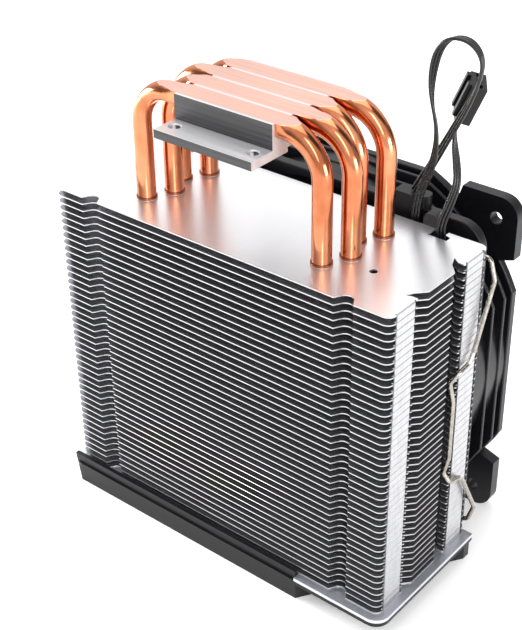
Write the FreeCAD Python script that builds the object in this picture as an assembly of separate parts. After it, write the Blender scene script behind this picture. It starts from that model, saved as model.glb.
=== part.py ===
"""CPU tower cooler: a stack of aluminium fins on four bent heat pipes, a base block,
a two-layer top cap and one 120 mm fan held by two spring wire clips.

Frame: millimetres, +Z up, the cooler standing on its cap with the CPU contact face up.
The origin is on the cap's resting face, under the middle of the fin stack. X runs along
the wide side of the fins and +Y points from the fins towards the fan.
"""
import FreeCAD
import Part
import math
import os

Vector = FreeCAD.Vector
X_AXIS, Y_AXIS, Z_AXIS = Vector(1, 0, 0), Vector(0, 1, 0), Vector(0, 0, 1)

# ---- fins ---------------------------------------------------------------------------
FIN_WIDTH = 129.2            # along X
FIN_DEPTH = 50.3             # along Y
FIN_THICKNESS = 0.4
FIN_PITCH = 2.5
FIN_COUNT = 44
FINS_PER_BANK = 11
FIN_CORNER_R = 2.6
TAB_LENGTH = 8.5             # bent side tabs that space the fins
TAB_INSET = 3.3              # from the fin's front or back edge to its tab
TAB_BEND_R = 0.6             # outer radius of a tab's bend
RELIEF = 0.65                # small square cuts at both ends of a tab's bend
STUB = 1.0                   # round-nosed stub between a tab and its clip groove
COLLAR_WALL = 0.3            # burred collar round each pipe hole of the uppermost fin
COLLAR_HEIGHT = 0.8
PIPE_HOLE_CLEARANCE = 0.02   # radial, a pressed and soldered joint
FRONT_NOTCH_X = 49.0         # middle of the round notches in the front edge
FRONT_NOTCH_WIDTH = 6.7
FRONT_NOTCH_DEPTH = 3.4
NOTCH_SHOULDER = 1.9         # the notch's sloping ends rise this far before its round top
NOTCH_SLOPE = 1.1            # and run this far along X
LEAD_SLOT_X = 49.6           # middle of the slots in the back edge that take the fan's lead
LEAD_SLOT_WIDTH = 6.5
LEAD_SLOT_DEPTH = 4.7
LEAD_SLOT_LIP = 2.1          # hooked corner that keeps the lead in its slot
LEAD_SLOT_LIP_THICKNESS = 1.8
LIP_DROP = 0.8               # slope of the lip's inner side
GROOVE_DEPTH = 4.5           # clip grooves in the side edges, deepest beside the stub
GROOVE_START = 6.45          # inner end of both grooves, from the middle of the side
GROOVE_KNEE = (3.0, 3.3)     # bend in a groove's long side, in from the edge and along it
FRONT_GROOVE_HOOK = 0.8      # the front groove's deepest point is this far past its stub's wall
BACK_GROOVE_HOOK = 1.7
GAUGE_HOLE_R = 1.2           # small punched hole in the uppermost fin
GAUGE_HOLE_AT = (46.3, -7.1)

# ---- heat pipes ---------------------------------------------------------------------
PIPE_D = 6.0
PIPE_WALL = 0.5
PIPE_COUNT = 4
PIPE_PITCH = 8.27            # along Y
PIPE_SPAN = 68.2             # between the two legs of one pipe
PIPE_STAGGER = 2.1           # alternate pipes are shifted this far along X, each way
PIPE_BEND_R = 12.5
PIPE_FLAT_DEPTH = 4.9        # flattened stretch in the base block
PIPE_FLAT_CORNER = 2.2
FLAT_LIFT = 0.7              # flattened underside above the underside of the round pipe
PIPE_TAIL_Z = 2.4            # lower ends of the legs, inside the cap
END_SEAL_LENGTH = 1.6

# ---- base block ---------------------------------------------------------------------
BASE_RISE = 40.5             # contact face above the uppermost fin
BASE_LENGTH = 36.3           # along X
BASE_WIDTH = 34.0            # along Y, without the flanges
BASE_HEIGHT = 10.5
WEB = 1.0                    # aluminium left between two flattened pipes
FLANGE_REACH = 9.25
FLANGE_THICKNESS = 2.7
FLANGE_HOLE_R = 1.65
FLANGE_HOLE_SPACING_X = 29.0
FLANGE_HOLE_INSET = 5.2      # from the flange's outer edge
HOLE_CHAMFER = 0.4
RELIEF_WIDTH = 4.0           # shallow slots along the underside
RELIEF_DEPTH = 1.5

# ---- cap ----------------------------------------------------------------------------
CAP_BODY_HEIGHT = 6.6
CAP_RIM_HEIGHT = 1.6
CAP_PLATE_THICKNESS = 1.2
CAP_OVERHANG = 2.9           # plate beyond the fins at the front and sides
CAP_BACK_OVERHANG = 0.3      # and at the back, where the fan's clips pass
CAP_CORNER_R = 5.0           # front corners; the back ones are square
RIM_INSET = 0.15             # black rim behind the plate's edge
SKIRT_HEIGHT = 11.3
SKIRT_WALL = 1.5
SKIRT_GAP = 0.5              # between the skirt and the fins' edge
SKIRT_END_INSET = 0.6        # far end of the skirt, in from the fins' side
SKIRT_SHORT_END = 34.0       # near end of the skirt, on X
SKIRT_END_CHAMFER = 2.0
CAP_END_STEP = 3.0           # straight part of each end of the cap's thick middle
CAP_BACK_REACH = 1.9         # its back end reaches this far beyond the fins' side
TAIL_POCKET_CLEARANCE = 0.3

# ---- fan ----------------------------------------------------------------------------
FAN_SIZE = 120.0
FAN_THICKNESS = 25.0
FAN_GAP = 3.7                # between the fins and the fan's near flange
FAN_HOLE_SPACING = 105.0
FAN_HOLE_R = 2.15            # holes of the far flange
HOOK_HOLE_R = 2.4            # holes of the near flange, which take the clips' hooks
DUCT_R = 57.6
DUCT_WALL = 2.0
NEAR_FLANGE = 3.5
FAR_FLANGE = 4.1
NEAR_CORNER_R = 8.0
FAR_CORNER_R = 6.5
FRAME_EDGE_R = 0.5           # round edges of the near flange and the ribs
RIB_CIRCLE_R = 66.0
FAR_RIB = 2.9
THIN_RIB = 1.3
THIN_RIB_PLACES = (10.4, 17.4)   # from the near flange's face
EAR_REACH = 20.0             # far ears run this far from the fan's corner
EAR_CHAMFER = 5.0
STRUT_COUNT = 4
STRUT_WIDTH = 4.2
STRUT_THICKNESS = 3.4
STRUT_ANGLE = 29.5           # first strut, from straight up towards +X
STRUT_GROOVE = 1.3           # depth of the groove that holds the lead
STRUT_ROOT = 2.0             # the struts run this far into the motor base
GROOVE_ROOT = 4.0            # and the lead's groove this far
MOTOR_BASE_R = 20.5
MOTOR_BASE_THICKNESS = 2.6
BEARING_BOSS_R = 4.6

# ---- motor and impeller -------------------------------------------------------------
SHAFT_R = 1.5
SHAFT_LENGTH = 16.8
SHAFT_START = 1.9            # inner end of the shaft, from the near flange's face
SHAFT_END_ROOM = 0.5         # between the shaft's end and the motor base
GROOVE_INSET = 0.3           # the retainer's groove starts this far from the shaft's end
GROOVE_NECK_R = 1.1
RETAINER_THICKNESS = 0.4
RETAINER_R = 2.6
BEARING_R = 3.4
BEARING_CLEARANCE = 0.03
BEARING_START = 3.0
BEARING_LENGTH = 12.5
STATOR_R = 16.5
STATOR_START = 6.2
STATOR_HEIGHT = 6.0
STATOR_HUB_WALL = 3.0
POLE_COUNT = 4
POLE_NECK = 4.0
POLE_FACE = 2.2
POLE_END_DEGREES = 6.0       # half the opening between two pole faces
COIL_THICKNESS = 2.4
COIL_FACE_GAP = 0.8          # between a winding and the pole face
COIL_BOARD_GAP = 0.2         # between a winding and the circuit board
AIR_GAP = 0.5
MAGNET_THICKNESS = 2.2
MAGNET_START = 6.0
MAGNET_LENGTH = 9.5
YOKE_THICKNESS = 0.8
BOARD_R = 15.5
BOARD_THICKNESS = 1.2
BOARD_START = 3.6
BOARD_HOLE_CLEARANCE = 0.2
HUB_WALL = 1.6
HUB_START = 5.2
HUB_FACE = 22.6              # outer face of the hub, from the near flange's face
BLADE_COUNT = 9
BLADE_TIP_CLEARANCE = 1.0
BLADE_START = 5.0
BLADE_END = 22.4
BLADE_THICKNESS = 1.4
BLADE_LEAN = 9.0             # the tip trails its root by this much
BLADE_CHORD = 17.3           # across the blade at its root, round the hub
BLADE_CAMBER = 0.16          # rise of the blade's curve, as a share of its height
BLADE_EDGE = 0.5             # its edges' thickness, as a share of its own
BLADE_TRIM = 1.4             # its free edges slope in by this much beyond the root
BLADE_ROOT = 1.0             # it starts this far inside the hub's surface
BLADE_OVERRUN = 1.5          # it is lofted this far beyond the tip circle, then trimmed
BLADE_WIDENING = (1.3, 1.55) # chord halfway out and at the tip, as a share of the root's
LABEL_THICKNESS = 0.25
LABEL_R = 18.0

# ---- clips, pads and lead -----------------------------------------------------------
WIRE_R = 0.75
WIRE_BEND_R = 2.0
WIRE_FIN_CLEARANCE = 0.55    # between the wire and the fins' side
HOOK_OVERRUN = 0.3           # hook end beyond the far side of the near flange
CLIP_RUN_OFFSET = 0.2        # the wire's run in the gap, from the gap's middle towards the fins
CLIP_SHOULDER = 1.5
CLIP_LOW_RISE = 6.0          # the lower run climbs this much between the fan's hole and the fins' side
CLIP_BENDS = [               # out from the fins' side, back from the groove's wall, below the hook
    (0.6, 14.7, 6.5), (0.0, 6.9, 28.0), (0.0, 4.3, 31.0), (-0.3, -0.9, 32.0),
    (-2.2, -1.9, 35.5), (-0.9, -1.5, 42.0)]
PAD_CORNER = 0.42            # corner radius, as a share of the pad's width
PAD_WIDTH = 4.6
PAD_LENGTH = 13.0
PAD_X = 43.9                 # middle of each rubber pad
PAD_ABOVE_FINS = 3.9         # upper pads stand proud of the fins
PAD_ABOVE_CAP = 1.0
CORNER_SHARE = 0.45          # a corner's arc takes at most this share of its shorter run
LEAD_D = 3.0
GUIDE_WIDTH = 11.3           # moulded strain relief on the fan's upper edge
GUIDE_HEIGHT = 3.8
GUIDE_DEPTH = 4.8
GUIDE_CORNER = 2.2           # round upper end beside the lead
GUIDE_X = 34.4
GUIDE_LIP = 0.9              # lip over the near flange's face
GUIDE_LIP_WIDTH = 7.1
GUIDE_LIP_DROP = 4.2
LEAD_STRIP_THICKNESS = 1.1
PLUG_LENGTH = 13.0
PLUG_WIDTH = 7.6
PLUG_DEPTH = 5.8
PLUG_PINS = 3
PIN_PITCH = 2.54
PIN_CAVITY = 1.7
PIN_CAVITY_DEPTH = 9.0
TERMINAL_LENGTH = 6.5
TERMINAL_WALL = 0.25
TERMINAL_FLOOR = 0.5
PIN_OFFSET = 0.6             # the pins' row lies this far from the plug's middle
RAIL_HEIGHT = 1.2            # two polarising rails along the plug
RAIL_WIDTH = 1.6
RAIL_PLACE = 2.28            # from the plug's middle
RAIL_START = 1.5

# ---- places worked out from the sizes above -----------------------------------------
HALF_W, HALF_D = FIN_WIDTH / 2, FIN_DEPTH / 2
CAP_PLATE_Z = CAP_BODY_HEIGHT + CAP_RIM_HEIGHT
CAP_TOP_Z = CAP_PLATE_Z + CAP_PLATE_THICKNESS
STACK_TOP = CAP_TOP_Z + FIN_THICKNESS + (FIN_COUNT - 1) * FIN_PITCH
FACE_Z = STACK_TOP + BASE_RISE
PIPE_R = PIPE_D / 2
PIPE_RUN_Z = FACE_Z - PIPE_FLAT_DEPTH - FLAT_LIFT + PIPE_R
SKIRT_LONG_END = HALF_W - SKIRT_END_INSET
TAB_END = HALF_D - TAB_INSET - TAB_LENGTH
STUB_END = TAB_END - RELIEF - STUB
FAN_Y = HALF_D + FAN_GAP
FAN_Z = FAN_SIZE / 2
FAN_HALF = FAN_SIZE / 2
HOLE_HALF = FAN_HOLE_SPACING / 2
HUB_R = STATOR_R + AIR_GAP + MAGNET_THICKNESS + YOKE_THICKNESS + HUB_WALL
PIPE_Y = [(i - (PIPE_COUNT - 1) / 2) * PIPE_PITCH for i in range(PIPE_COUNT)]
PIPE_SHIFT = [-PIPE_STAGGER if i % 2 == 0 else PIPE_STAGGER for i in range(PIPE_COUNT)]
PIPE_LEGS = [(shift + side * PIPE_SPAN / 2, y)
             for y, shift in zip(PIPE_Y, PIPE_SHIFT) for side in (-1, 1)]


# ---- helpers ------------------------------------------------------------------------
def save(name, *solids):
    """Write one node; several solids stay separate pieces in one file."""
    shape = solids[0] if len(solids) == 1 else Part.makeCompound(list(solids))
    os.makedirs("parts", exist_ok=True)
    shape.exportStep("parts/%s.step" % name)
    print("%-26s %2d solid(s) %10.2f mm3 %s"
          % (name, len(shape.Solids), shape.Volume, "valid" if shape.isValid() else "INVALID"))
    return shape


def box(x0, x1, y0, y1, z0, z1):
    return Part.makeBox(x1 - x0, y1 - y0, z1 - z0, Vector(x0, y0, z0))


def post(x, y, z0, z1, radius):
    """Cylinder along Z."""
    return Part.makeCylinder(radius, z1 - z0, Vector(x, y, z0), Z_AXIS)


def fan_disc(radius, start, end, x=0.0, z=0.0):
    """Cylinder along Y; start and end are measured from the near flange's face."""
    at = Vector(x, FAN_Y + start, FAN_Z + z)
    return Part.makeCylinder(radius, end - start, at, Y_AXIS)


def fan_ring(outer, inner, start, end):
    return fan_disc(outer, start, end).cut(fan_disc(inner, start - 1, end + 1))


def prism(points, direction):
    """Solid on a closed polygon of 3-D points."""
    wire = Part.makePolygon([Vector(*p) for p in points] + [Vector(*points[0])])
    return Part.Face(wire).extrude(direction)


def rounded_slab(half_x, front_y, back_y, radius, z0, z1):
    """Slab with round front corners and square back corners."""
    slab = box(-half_x, half_x, front_y, back_y, z0, z1)
    edges = [e for e in slab.Edges if abs(e.tangentAt(e.FirstParameter).z) > 0.9
             and e.CenterOfMass.y < 0]
    return slab.makeFillet(radius, edges)


def fan_square(half, radius, start, end):
    """Square plate with round corners, across the fan's axis."""
    plate = box(-half, half, FAN_Y + start, FAN_Y + end, FAN_Z - half, FAN_Z + half)
    edges = [e for e in plate.Edges if abs(e.tangentAt(e.FirstParameter).y) > 0.9]
    return plate.makeFillet(radius, edges)


def about_fan_axis(shape, degrees):
    turned = shape.copy()
    turned.rotate(Vector(0, FAN_Y, FAN_Z), Y_AXIS, degrees)
    return turned


def mirrored_x(shape):
    return shape.mirror(Vector(0, 0, 0), X_AXIS)


def arc_route(points, radius_at):
    """Straight runs joined by tangent arcs; returns the wire and the arcs' radii."""
    pts = [Vector(*p) for p in points]
    edges, radii, start = [], [], pts[0]
    for i in range(1, len(pts) - 1):
        back, ahead = pts[i - 1] - pts[i], pts[i + 1] - pts[i]
        turn = math.pi - back.getAngle(ahead)
        radius = radius_at(min(back.Length, ahead.Length), turn)
        reach = radius * math.tan(turn / 2)
        back.normalize()
        ahead.normalize()
        first, last = pts[i] + back * reach, pts[i] + ahead * reach
        middle = back + ahead
        middle.normalize()
        crown = pts[i] + middle * (radius / math.cos(turn / 2) - radius)
        if (first - start).Length > 1e-6:
            edges.append(Part.LineSegment(start, first).toShape())
        edges.append(Part.Arc(first, crown, last).toShape())
        radii.append(radius)
        start = last
    edges.append(Part.LineSegment(start, pts[-1]).toShape())
    return Part.Wire(edges), radii


def corner_r(run, turn):
    """Largest arc for a corner whose shorter run is this long."""
    return CORNER_SHARE * run / math.tan(turn / 2)


def tube(wire, radius):
    """Round solid swept along a wire of lines and arcs."""
    first = wire.OrderedEdges[0]
    start, direction = first.valueAt(first.FirstParameter), first.tangentAt(first.FirstParameter)
    section = Part.Wire([Part.Circle(start, direction, radius).toShape()])
    return wire.makePipeShell([section], True, True)


# ---- fins ---------------------------------------------------------------------------
def front_notch():
    """Steps along the front edge across the right-hand notch: sloping ends and a round top."""
    half = FRONT_NOTCH_WIDTH / 2
    shoulder = -HALF_D + NOTCH_SHOULDER
    return [(None, (FRONT_NOTCH_X - half, -HALF_D)),
            (None, (FRONT_NOTCH_X - half + NOTCH_SLOPE, shoulder)),
            ((FRONT_NOTCH_X, -HALF_D + FRONT_NOTCH_DEPTH), (FRONT_NOTCH_X + half - NOTCH_SLOPE, shoulder)),
            (None, (FRONT_NOTCH_X + half, -HALF_D))]


def tab_side(sign, hook):
    """Steps along one half of the right side, from its corner to its middle: tab, stub and groove."""
    inner, wall = HALF_W - RELIEF, HALF_W - GROOVE_DEPTH
    tab_start = TAB_END + TAB_LENGTH
    nose = STUB / 2
    plan = [(None, (HALF_W, tab_start + RELIEF)), (None, (inner, tab_start + RELIEF)),
            (None, (inner, tab_start)), (None, (HALF_W, tab_start)), (None, (HALF_W, TAB_END)),
            (None, (inner, TAB_END)), (None, (inner, TAB_END - RELIEF)),
            (None, (HALF_W - nose, TAB_END - RELIEF)),
            ((HALF_W, STUB_END + nose), (HALF_W - nose, STUB_END)),
            (None, (HALF_W - GROOVE_DEPTH / 2, STUB_END)), (None, (wall, STUB_END + hook)),
            (None, (HALF_W - GROOVE_KNEE[0], GROOVE_START + GROOVE_KNEE[1])),
            (None, (HALF_W, GROOVE_START))]
    return [(via and (via[0], sign * via[1]), (end[0], sign * end[1])) for via, end in plan]


def lead_slot():
    """Steps along the back edge, outer side to inner side, round the right-hand lead slot."""
    outer, inner = LEAD_SLOT_X + LEAD_SLOT_WIDTH / 2, LEAD_SLOT_X - LEAD_SLOT_WIDTH / 2
    lip_x = outer - LEAD_SLOT_LIP
    under_lip = HALF_D - LEAD_SLOT_LIP_THICKNESS
    deep = HALF_D - LEAD_SLOT_DEPTH
    return [(None, (lip_x, HALF_D)), (None, (lip_x, under_lip)), (None, (outer, under_lip - LIP_DROP)),
            (None, (outer, deep)), (None, (inner, deep)), (None, (inner, HALF_D))]


def reversed_steps(start, steps):
    """The same steps walked the other way, without their last point."""
    points = [start] + [end for _, end in steps]
    return [(steps[i][0], points[i]) for i in reversed(range(len(steps)))]


def right_outline():
    """Steps of the fin's right half, from the front middle round to the back middle.

    A step is (via, end): a straight edge to end, or an arc through via."""
    r = FIN_CORNER_R
    knee = r * (1 - math.sqrt(0.5))
    back_side = tab_side(1, BACK_GROOVE_HOOK)
    corner_end = (HALF_W, HALF_D - r)
    return (front_notch() + [(None, (HALF_W - r, -HALF_D)),
                             ((HALF_W - knee, -HALF_D + knee), (HALF_W, -HALF_D + r))]
            + tab_side(-1, FRONT_GROOVE_HOOK) + [(None, back_side[-1][1])]
            + reversed_steps(corner_end, back_side)
            + [((HALF_W - knee, HALF_D - knee), (HALF_W - r, HALF_D))]
            + lead_slot() + [(None, (0, HALF_D))])


def fin_outline_face(z):
    """Fin outline as a face: the right half and its mirror image."""
    edges = []
    for sign in (1, -1):
        start = Vector(0, -HALF_D, z)
        for via, end in right_outline():
            stop = Vector(sign * end[0], end[1], z)
            if via:
                edges.append(Part.Arc(start, Vector(sign * via[0], via[1], z), stop).toShape())
            elif (stop - start).Length > 1e-6:
                edges.append(Part.LineSegment(start, stop).toShape())
            start = stop
    return Part.Face(Part.Wire(Part.__sortEdges__(edges)))


def pipe_hole_r():
    return PIPE_R + PIPE_HOLE_CLEARANCE


def make_fin(with_tabs):
    """One fin with its top surface at z = 0: plate, pipe holes and four bent side tabs."""
    plate = fin_outline_face(-FIN_THICKNESS).extrude(Vector(0, 0, FIN_THICKNESS))
    if with_tabs:
        for sx in (-1, 1):
            for sy in (-1, 1):
                x0, x1 = sorted((sx * (HALF_W - FIN_THICKNESS), sx * HALF_W))
                y0, y1 = sorted((sy * TAB_END, sy * (TAB_END + TAB_LENGTH)))
                plate = plate.fuse(box(x0, x1, y0, y1, -FIN_PITCH, -FIN_THICKNESS))
        plate = plate.removeSplitter()
        plate = plate.makeFillet(TAB_BEND_R, [e for e in plate.Edges if is_tab_bend(e, 0)])
        plate = plate.makeFillet(TAB_BEND_R - FIN_THICKNESS,
                                 [e for e in plate.Edges if is_tab_bend(e, FIN_THICKNESS)])
    holes = Part.makeCompound([post(x, y, -FIN_PITCH, 1, pipe_hole_r()) for x, y in PIPE_LEGS])
    return plate.cut(holes).Solids[0]


def is_tab_bend(edge, inset):
    """True for the edge along a tab's bend: the outer one at inset 0, the inner one at the thickness."""
    middle = edge.CenterOfMass
    on_side = abs(abs(middle.x) + inset - HALF_W) < 1e-6 and abs(middle.z + inset) < 1e-6
    return on_side and abs(abs(middle.y) - TAB_END - TAB_LENGTH / 2) < 1e-6


def make_top_fin(fin):
    """Uppermost fin: burred collars stand up round the pipes and one gauge hole is punched."""
    for x, y in PIPE_LEGS:
        collar = post(x, y, -FIN_THICKNESS, COLLAR_HEIGHT, pipe_hole_r() + COLLAR_WALL)
        fin = fin.fuse(collar.cut(post(x, y, -1, COLLAR_HEIGHT + 1, pipe_hole_r())))
    gauge = post(GAUGE_HOLE_AT[0], GAUGE_HOLE_AT[1], -1, 1, GAUGE_HOLE_R)
    return fin.cut(gauge).removeSplitter().Solids[0]


def raised(shape, z):
    moved = shape.copy()
    moved.translate(Vector(0, 0, z))
    return moved


def build_fins():
    """The lowest fin lies flat on the cap; the others stand on the tabs bent down from them."""
    fin = make_fin(True)
    tops = [CAP_TOP_Z + FIN_THICKNESS + i * FIN_PITCH for i in range(FIN_COUNT)]
    stack = [raised(make_fin(False), tops[0])] + [raised(fin, z) for z in tops[1:-1]]
    for bank, start in enumerate(range(0, len(stack), FINS_PER_BANK), 1):
        save("fin_bank_%d" % bank, *stack[start:start + FINS_PER_BANK])
    save("top_fin", raised(make_top_fin(fin), tops[-1]))


# ---- heat pipes and base ------------------------------------------------------------
def flat_profile(y, x0, x1):
    """Flattened stretch of a pipe: flat on the contact face, round lower corners."""
    half = (PIPE_PITCH - WEB) / 2
    bar = box(x0, x1, y - half, y + half, FACE_Z - PIPE_FLAT_DEPTH, FACE_Z)
    low = [e for e in bar.Edges if abs(e.tangentAt(e.FirstParameter).x) > 0.9
           and e.CenterOfMass.z < FACE_Z - PIPE_FLAT_DEPTH + 0.01]
    return bar.makeFillet(PIPE_FLAT_CORNER, low)


def make_pipe(y, shift):
    """U-shaped pipe with both legs bored, and flattened where it crosses the base."""
    left, right = shift - PIPE_SPAN / 2, shift + PIPE_SPAN / 2
    path = [(left, y, PIPE_TAIL_Z), (left, y, PIPE_RUN_Z), (right, y, PIPE_RUN_Z),
            (right, y, PIPE_TAIL_Z)]
    wire, _ = arc_route(path, lambda run, turn: PIPE_BEND_R)
    body = tube(wire, PIPE_R)
    half = BASE_LENGTH / 2
    reach = PIPE_PITCH
    body = body.cut(box(-half, half, y - reach, y + reach, PIPE_RUN_Z - reach, FACE_Z + reach))
    body = body.cut(box(left - reach, right + reach, y - reach, y + reach, FACE_Z, FACE_Z + reach))
    body = body.fuse(flat_profile(y, -half, half))
    for x in (left, right):
        body = body.cut(post(x, y, PIPE_TAIL_Z - 1, PIPE_RUN_Z - PIPE_BEND_R, PIPE_R - PIPE_WALL))
    return body.removeSplitter().Solids[0]


def build_pipes():
    for i, (y, shift) in enumerate(zip(PIPE_Y, PIPE_SHIFT), 1):
        save("heatpipe_%d" % i, make_pipe(y, shift))
    seals = [post(x, y, PIPE_TAIL_Z, PIPE_TAIL_Z + END_SEAL_LENGTH, PIPE_R - PIPE_WALL)
             for x, y in PIPE_LEGS]
    save("heatpipe_end_seals", *seals)


def flange_holes():
    y = BASE_WIDTH / 2 + FLANGE_REACH - FLANGE_HOLE_INSET
    return [(sx * FLANGE_HOLE_SPACING_X / 2, sy * y) for sx in (-1, 1) for sy in (-1, 1)]


def build_base():
    half_x, half_y = BASE_LENGTH / 2, BASE_WIDTH / 2
    bottom = FACE_Z - BASE_HEIGHT
    block = box(-half_x, half_x, -half_y, half_y, bottom, FACE_Z)
    outer = half_y + FLANGE_REACH
    block = block.fuse(box(-half_x, half_x, -outer, outer, bottom, bottom + FLANGE_THICKNESS))
    for y in PIPE_Y:
        block = block.cut(flat_profile(y, -half_x, half_x))
    for y in (-PIPE_PITCH, 0, PIPE_PITCH):
        slot = box(-half_x, half_x, y - RELIEF_WIDTH / 2, y + RELIEF_WIDTH / 2,
                   bottom, bottom + RELIEF_DEPTH)
        block = block.cut(slot)
    top = bottom + FLANGE_THICKNESS
    for x, y in flange_holes():
        block = block.cut(post(x, y, bottom, top, FLANGE_HOLE_R))
        rim = Part.makeCone(FLANGE_HOLE_R, FLANGE_HOLE_R + HOLE_CHAMFER, HOLE_CHAMFER,
                            Vector(x, y, top - HOLE_CHAMFER), Z_AXIS)
        block = block.cut(rim)
    save("base_block", block.removeSplitter().Solids[0])


# ---- cap ----------------------------------------------------------------------------
def cap_body_points():
    """Plan of the thick middle of the cap: a slab with two slanting ends."""
    front = -(HALF_D + SKIRT_GAP + SKIRT_WALL)
    back = HALF_D + CAP_BACK_OVERHANG
    long_end, short_end, back_end = SKIRT_LONG_END, SKIRT_SHORT_END, HALF_W + CAP_BACK_REACH
    return [(-long_end, front, 0), (short_end, front, 0), (back_end, back - CAP_END_STEP, 0),
            (back_end, back, 0), (-short_end, back, 0), (-long_end, front + CAP_END_STEP, 0)]


def make_skirt():
    """Front skirt: a thin wall that hides the lowest fins, sloping in at its outer end."""
    outer = -(HALF_D + SKIRT_GAP + SKIRT_WALL)
    slope = SKIRT_END_CHAMFER
    wall = [(-SKIRT_LONG_END - slope, outer, SKIRT_HEIGHT), (SKIRT_SHORT_END, outer, SKIRT_HEIGHT),
            (SKIRT_SHORT_END, outer, 0), (-SKIRT_LONG_END, outer, 0)]
    return prism(wall, Vector(0, SKIRT_WALL, 0))


def build_cap():
    half_x = HALF_W + CAP_OVERHANG
    front, back = -HALF_D - CAP_OVERHANG, HALF_D + CAP_BACK_OVERHANG
    plate = rounded_slab(half_x, front, back, CAP_CORNER_R, CAP_PLATE_Z, CAP_TOP_Z)
    rim = rounded_slab(half_x - RIM_INSET, front + RIM_INSET, back, CAP_CORNER_R - RIM_INSET,
                       CAP_BODY_HEIGHT, CAP_PLATE_Z)
    body = prism(cap_body_points(), Vector(0, 0, CAP_BODY_HEIGHT))
    pockets = Part.makeCompound([
        post(x, y, PIPE_TAIL_Z - TAIL_POCKET_CLEARANCE, CAP_TOP_Z, PIPE_R + TAIL_POCKET_CLEARANCE)
        for x, y in PIPE_LEGS])
    cover = rim.fuse(body).fuse(make_skirt()).cut(pockets)
    beside_skirt = box(-half_x - 1, SKIRT_SHORT_END, front - 1, -HALF_D - SKIRT_GAP,
                       CAP_PLATE_Z, CAP_TOP_Z)
    plate = plate.cut(beside_skirt).cut(pockets)
    save("cap_plate", plate.removeSplitter().Solids[0])
    save("cap_cover", cover.removeSplitter().Solids[0])


# ---- fan ----------------------------------------------------------------------------
def fan_corners():
    return [(sx * HOLE_HALF, sz * HOLE_HALF) for sx in (-1, 1) for sz in (-1, 1)]


def rib_ring(start, end):
    """Rib round the duct: the fan's square outline with its corners cut by a circle."""
    square = box(-FAN_HALF, FAN_HALF, FAN_Y + start, FAN_Y + end, FAN_Z - FAN_HALF, FAN_Z + FAN_HALF)
    return softened(fan_disc(RIB_CIRCLE_R, start, end).common(square), FRAME_EDGE_R)


def softened(plate, radius):
    """Round both faces' edges of a plate that lies across the fan's axis."""
    rims = [e for e in plate.Edges if e.BoundBox.YLength < 0.01]
    return plate.makeFillet(min(radius, plate.BoundBox.YLength / 3), rims)


def far_ears():
    """Four corner plates of the far flange, each with sloping ends."""
    start, end = FAN_THICKNESS - FAR_FLANGE, FAN_THICKNESS
    plate = fan_square(FAN_HALF, FAR_CORNER_R, start, end)
    near, far = FAN_HALF - EAR_REACH, FAN_HALF
    low, cut = near - EAR_CHAMFER, EAR_CHAMFER
    y = FAN_Y + start
    ears = None
    for sx in (-1, 1):
        for sz in (-1, 1):
            plan = [(low, low), (low + cut, low), (near + cut, near - cut), (far, near),
                    (far, far), (near, far), (near - cut, near + cut), (low, low + cut)]
            points = [(sx * a, y, FAN_Z + sz * b) for a, b in plan]
            corner = prism(points, Vector(0, end - start, 0)).common(plate)
            ears = corner if ears is None else ears.fuse(corner)
    return ears


def strut(index):
    bar = box(-STRUT_WIDTH / 2, STRUT_WIDTH / 2, FAN_Y, FAN_Y + STRUT_THICKNESS,
              FAN_Z + MOTOR_BASE_R - STRUT_ROOT, FAN_Z + DUCT_R + DUCT_WALL / 2)
    return about_fan_axis(bar, STRUT_ANGLE + index * 360 / STRUT_COUNT)


def lead_groove():
    """Straight channel along the first strut and up the flange, for the flat lead strip."""
    bar = box(-LEAD_D / 2, LEAD_D / 2, FAN_Y, FAN_Y + STRUT_GROOVE,
              FAN_Z + MOTOR_BASE_R - GROOVE_ROOT, FAN_Z + 2 * FAN_HALF)
    return about_fan_axis(bar, STRUT_ANGLE)


def build_fan_frame():
    frame = softened(fan_square(FAN_HALF, NEAR_CORNER_R, 0, NEAR_FLANGE), FRAME_EDGE_R)
    frame = frame.fuse(fan_disc(DUCT_R + DUCT_WALL, 0, FAN_THICKNESS))
    frame = frame.fuse(rib_ring(FAN_THICKNESS - FAR_RIB, FAN_THICKNESS))
    for place in THIN_RIB_PLACES:
        frame = frame.fuse(rib_ring(place, place + THIN_RIB))
    frame = frame.fuse(far_ears())
    frame = frame.cut(fan_disc(DUCT_R, -1, FAN_THICKNESS + 1))
    for i in range(STRUT_COUNT):
        frame = frame.fuse(strut(i))
    frame = frame.fuse(fan_disc(MOTOR_BASE_R, 0, MOTOR_BASE_THICKNESS))
    boss_end = BEARING_START + BEARING_LENGTH
    frame = frame.fuse(fan_disc(BEARING_BOSS_R, 0, boss_end))
    frame = frame.cut(fan_disc(BEARING_R, SHAFT_START - SHAFT_END_ROOM, boss_end + 1))
    for x, z in fan_corners():
        frame = frame.cut(fan_disc(HOOK_HOLE_R, -1, FAN_THICKNESS / 2, x, z))
        frame = frame.cut(fan_disc(FAN_HOLE_R, FAN_THICKNESS / 2, FAN_THICKNESS + 1, x, z))
    frame = frame.cut(lead_groove())
    save("fan_frame", frame.removeSplitter().Solids[0])


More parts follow.
